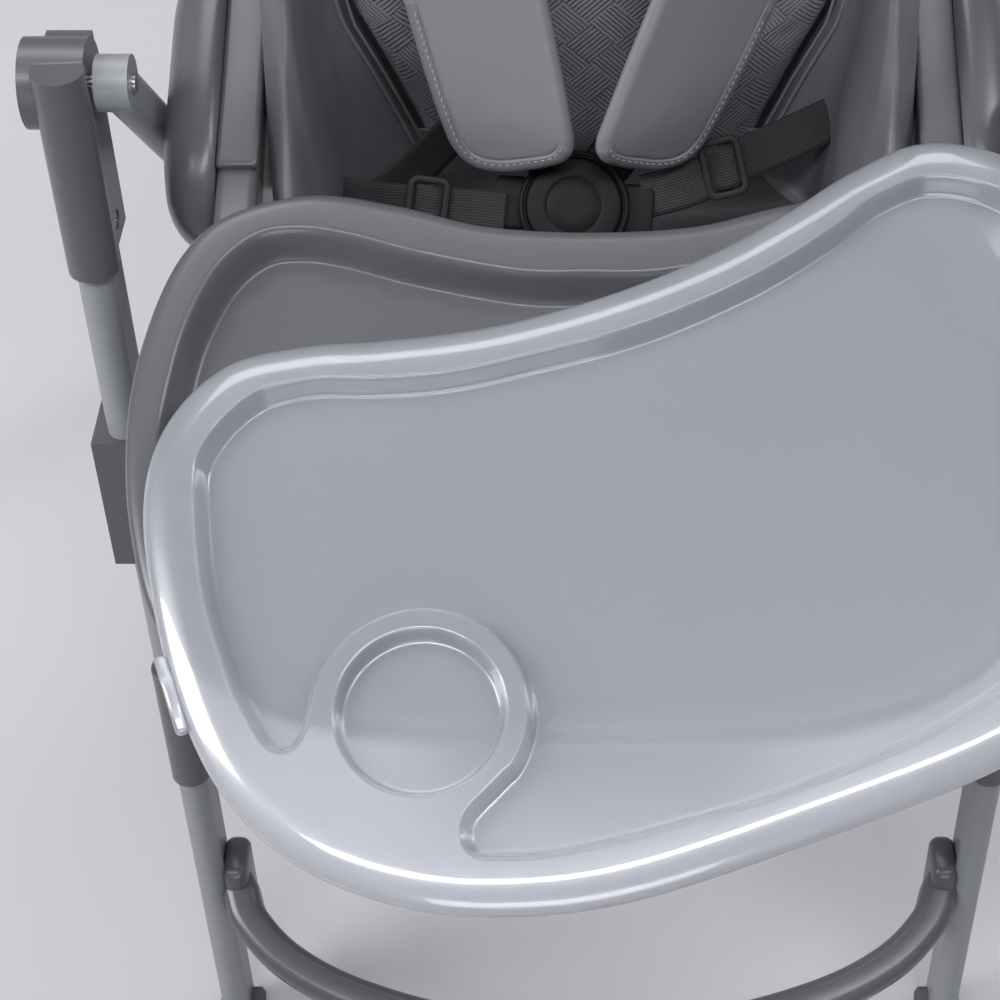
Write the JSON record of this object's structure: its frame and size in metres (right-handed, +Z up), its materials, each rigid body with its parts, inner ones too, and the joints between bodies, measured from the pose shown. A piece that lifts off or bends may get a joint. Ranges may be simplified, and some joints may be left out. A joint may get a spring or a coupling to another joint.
{
  "type": "baby high chair",
  "caption": "Folding high chair with two splayed leg pairs, a height-adjusting reclining seat, harness, sliding tray and translucent lift-off tray insert.",
  "frame": {"origin": "on the floor, under the middle of the chair's bounding box", "axes": "+Z up, the seated child faces -Y, +X is to the child's left"},
  "size_m": [0.615, 0.7393, 1.0162],
  "materials": {
    "frame_paint": "satin grey powder coat on steel tube",
    "grey_plastic": "fine matt moulded polypropylene",
    "dark_plastic": "matt moulded nylon",
    "button_plastic": "matt moulded plastic",
    "leatherette": "soft grained leatherette with stitched borders",
    "back_fabric": "embossed sheen fabric with a geometric pattern",
    "webbing": "woven polyester webbing",
    "buckle_plastic": "matt black acetal",
    "milky_plastic": "translucent milky polypropylene, glossy",
    "steel": "zinc-plated steel",
    "foot_rubber": "matt non-slip rubber"
  },
  "bodies": {
    "front_frame": {"front_leg_left": "frame_paint", "front_leg_right": "frame_paint", "hinge_housing_left": "grey_plastic", "hinge_housing_right": "grey_plastic", "hinge_screws": "steel", "fold_pins": "steel", "leg_collar_left": "grey_plastic", "leg_collar_right": "grey_plastic", "front_crossbar": "grey_plastic", "front_foot_left": "foot_rubber", "front_foot_right": "foot_rubber"},
    "fold_button_left": {"fold_button_left": "button_plastic"},
    "fold_button_right": {"fold_button_right": "button_plastic"},
    "rear_frame": {"rear_leg_left": "frame_paint", "rear_leg_right": "frame_paint", "rear_crossbar": "frame_paint", "rear_base_bar": "frame_paint", "rear_foot_left": "foot_rubber", "rear_foot_right": "foot_rubber"},
    "seat": {"seat_shell": "grey_plastic", "carriage_left": "dark_plastic", "carriage_right": "dark_plastic", "armrest_left": "grey_plastic", "armrest_right": "grey_plastic", "arm_pad_left": "dark_plastic", "arm_pad_right": "dark_plastic", "side_cover_left": "grey_plastic", "side_cover_right": "grey_plastic", "seat_cushion": "leatherette", "crotch_strap": "webbing", "waist_strap_left": "webbing", "waist_strap_right": "webbing", "strap_adjusters": "buckle_plastic", "buckle_body": "buckle_plastic", "recline_pins": "steel", "legrest_pins": "steel"},
    "height_button_left": {"height_button_left": "button_plastic"},
    "height_button_right": {"height_button_right": "button_plastic"},
    "buckle_button": {"buckle_button": "buckle_plastic"},
    "backrest": {"backrest_shell": "grey_plastic", "back_cushion": "back_fabric", "side_bolster_left": "leatherette", "side_bolster_right": "leatherette", "shoulder_pad_left": "leatherette", "shoulder_pad_right": "leatherette", "shoulder_strap_left": "webbing", "shoulder_strap_right": "webbing"},
    "recline_handle": {"recline_handle": "dark_plastic"},
    "legrest": {"legrest_panel": "grey_plastic", "legrest_pad": "leatherette", "foot_plate": "dark_plastic"},
    "tray": {"tray_base": "grey_plastic", "tray_rail_left": "dark_plastic", "tray_rail_right": "dark_plastic"},
    "tray_release_left": {"tray_release_left": "button_plastic"},
    "tray_release_right": {"tray_release_right": "button_plastic"},
    "insert": {"tray_insert": "milky_plastic"}
  },
  "joints": [
    {"name": "leg_fold", "type": "hinge", "parent": "front_frame", "child": "rear_frame", "pos_m": [0, 0.06187, 0.78385], "axis": [-1, 0, 0], "range_deg": [0, 40]},
    {"name": "seat_height", "type": "slide", "parent": "front_frame", "child": "seat", "axis": [0, -0.4091, -0.9125], "range_m": [-0.06, 0.09]},
    {"name": "fold_button_left_press", "type": "slide", "parent": "front_frame", "child": "fold_button_left", "axis": [1, 0, 0], "range_m": [0, 0.003], "stiffness_N_per_m": 600, "springref_m": -0.001},
    {"name": "height_button_left_press", "type": "slide", "parent": "seat", "child": "height_button_left", "axis": [1, 0, 0], "range_m": [0, 0.0025], "stiffness_N_per_m": 600, "springref_m": -0.001},
    {"name": "fold_button_right_press", "type": "slide", "parent": "front_frame", "child": "fold_button_right", "axis": [-1, 0, 0], "range_m": [0, 0.003], "stiffness_N_per_m": 600, "springref_m": -0.001},
    {"name": "height_button_right_press", "type": "slide", "parent": "seat", "child": "height_button_right", "axis": [-1, 0, 0], "range_m": [0, 0.0025], "stiffness_N_per_m": 600, "springref_m": -0.001},
    {"name": "backrest_recline", "type": "hinge", "parent": "seat", "child": "backrest", "pos_m": [0, 0.132, 0.585], "axis": [-1, 0, 0], "range_deg": [0, 38]},
    {"name": "recline_handle_pull", "type": "slide", "parent": "backrest", "child": "recline_handle", "axis": [0, 0.309, 0.9511], "range_m": [0, 0.01], "stiffness_N_per_m": 300, "springref_m": -0.003},
    {"name": "legrest_swing", "type": "hinge", "parent": "seat", "child": "legrest", "pos_m": [0, -0.197, 0.543], "axis": [-1, 0, 0], "range_deg": [0, 72]},
    {"name": "buckle_press", "type": "slide", "parent": "seat", "child": "buckle_button", "axis": [0, 0.454, -0.891], "range_m": [0, 0.003], "stiffness_N_per_m": 500, "springref_m": -0.002},
    {"name": "tray_slide", "type": "slide", "parent": "seat", "child": "tray", "axis": [0, -1, 0], "range_m": [0, 0.1]},
    {"name": "tray_release_left_press", "type": "slide", "parent": "tray", "child": "tray_release_left", "axis": [1, 0, 0], "range_m": [0, 0.006], "stiffness_N_per_m": 400, "springref_m": -0.001},
    {"name": "tray_release_right_press", "type": "slide", "parent": "tray", "child": "tray_release_right", "axis": [-1, 0, 0], "range_m": [0, 0.006], "stiffness_N_per_m": 400, "springref_m": -0.001},
    {"name": "insert_lift", "type": "slide", "parent": "tray", "child": "insert", "axis": [0, 0, 1], "range_m": [0, 0.12]}
  ]
}
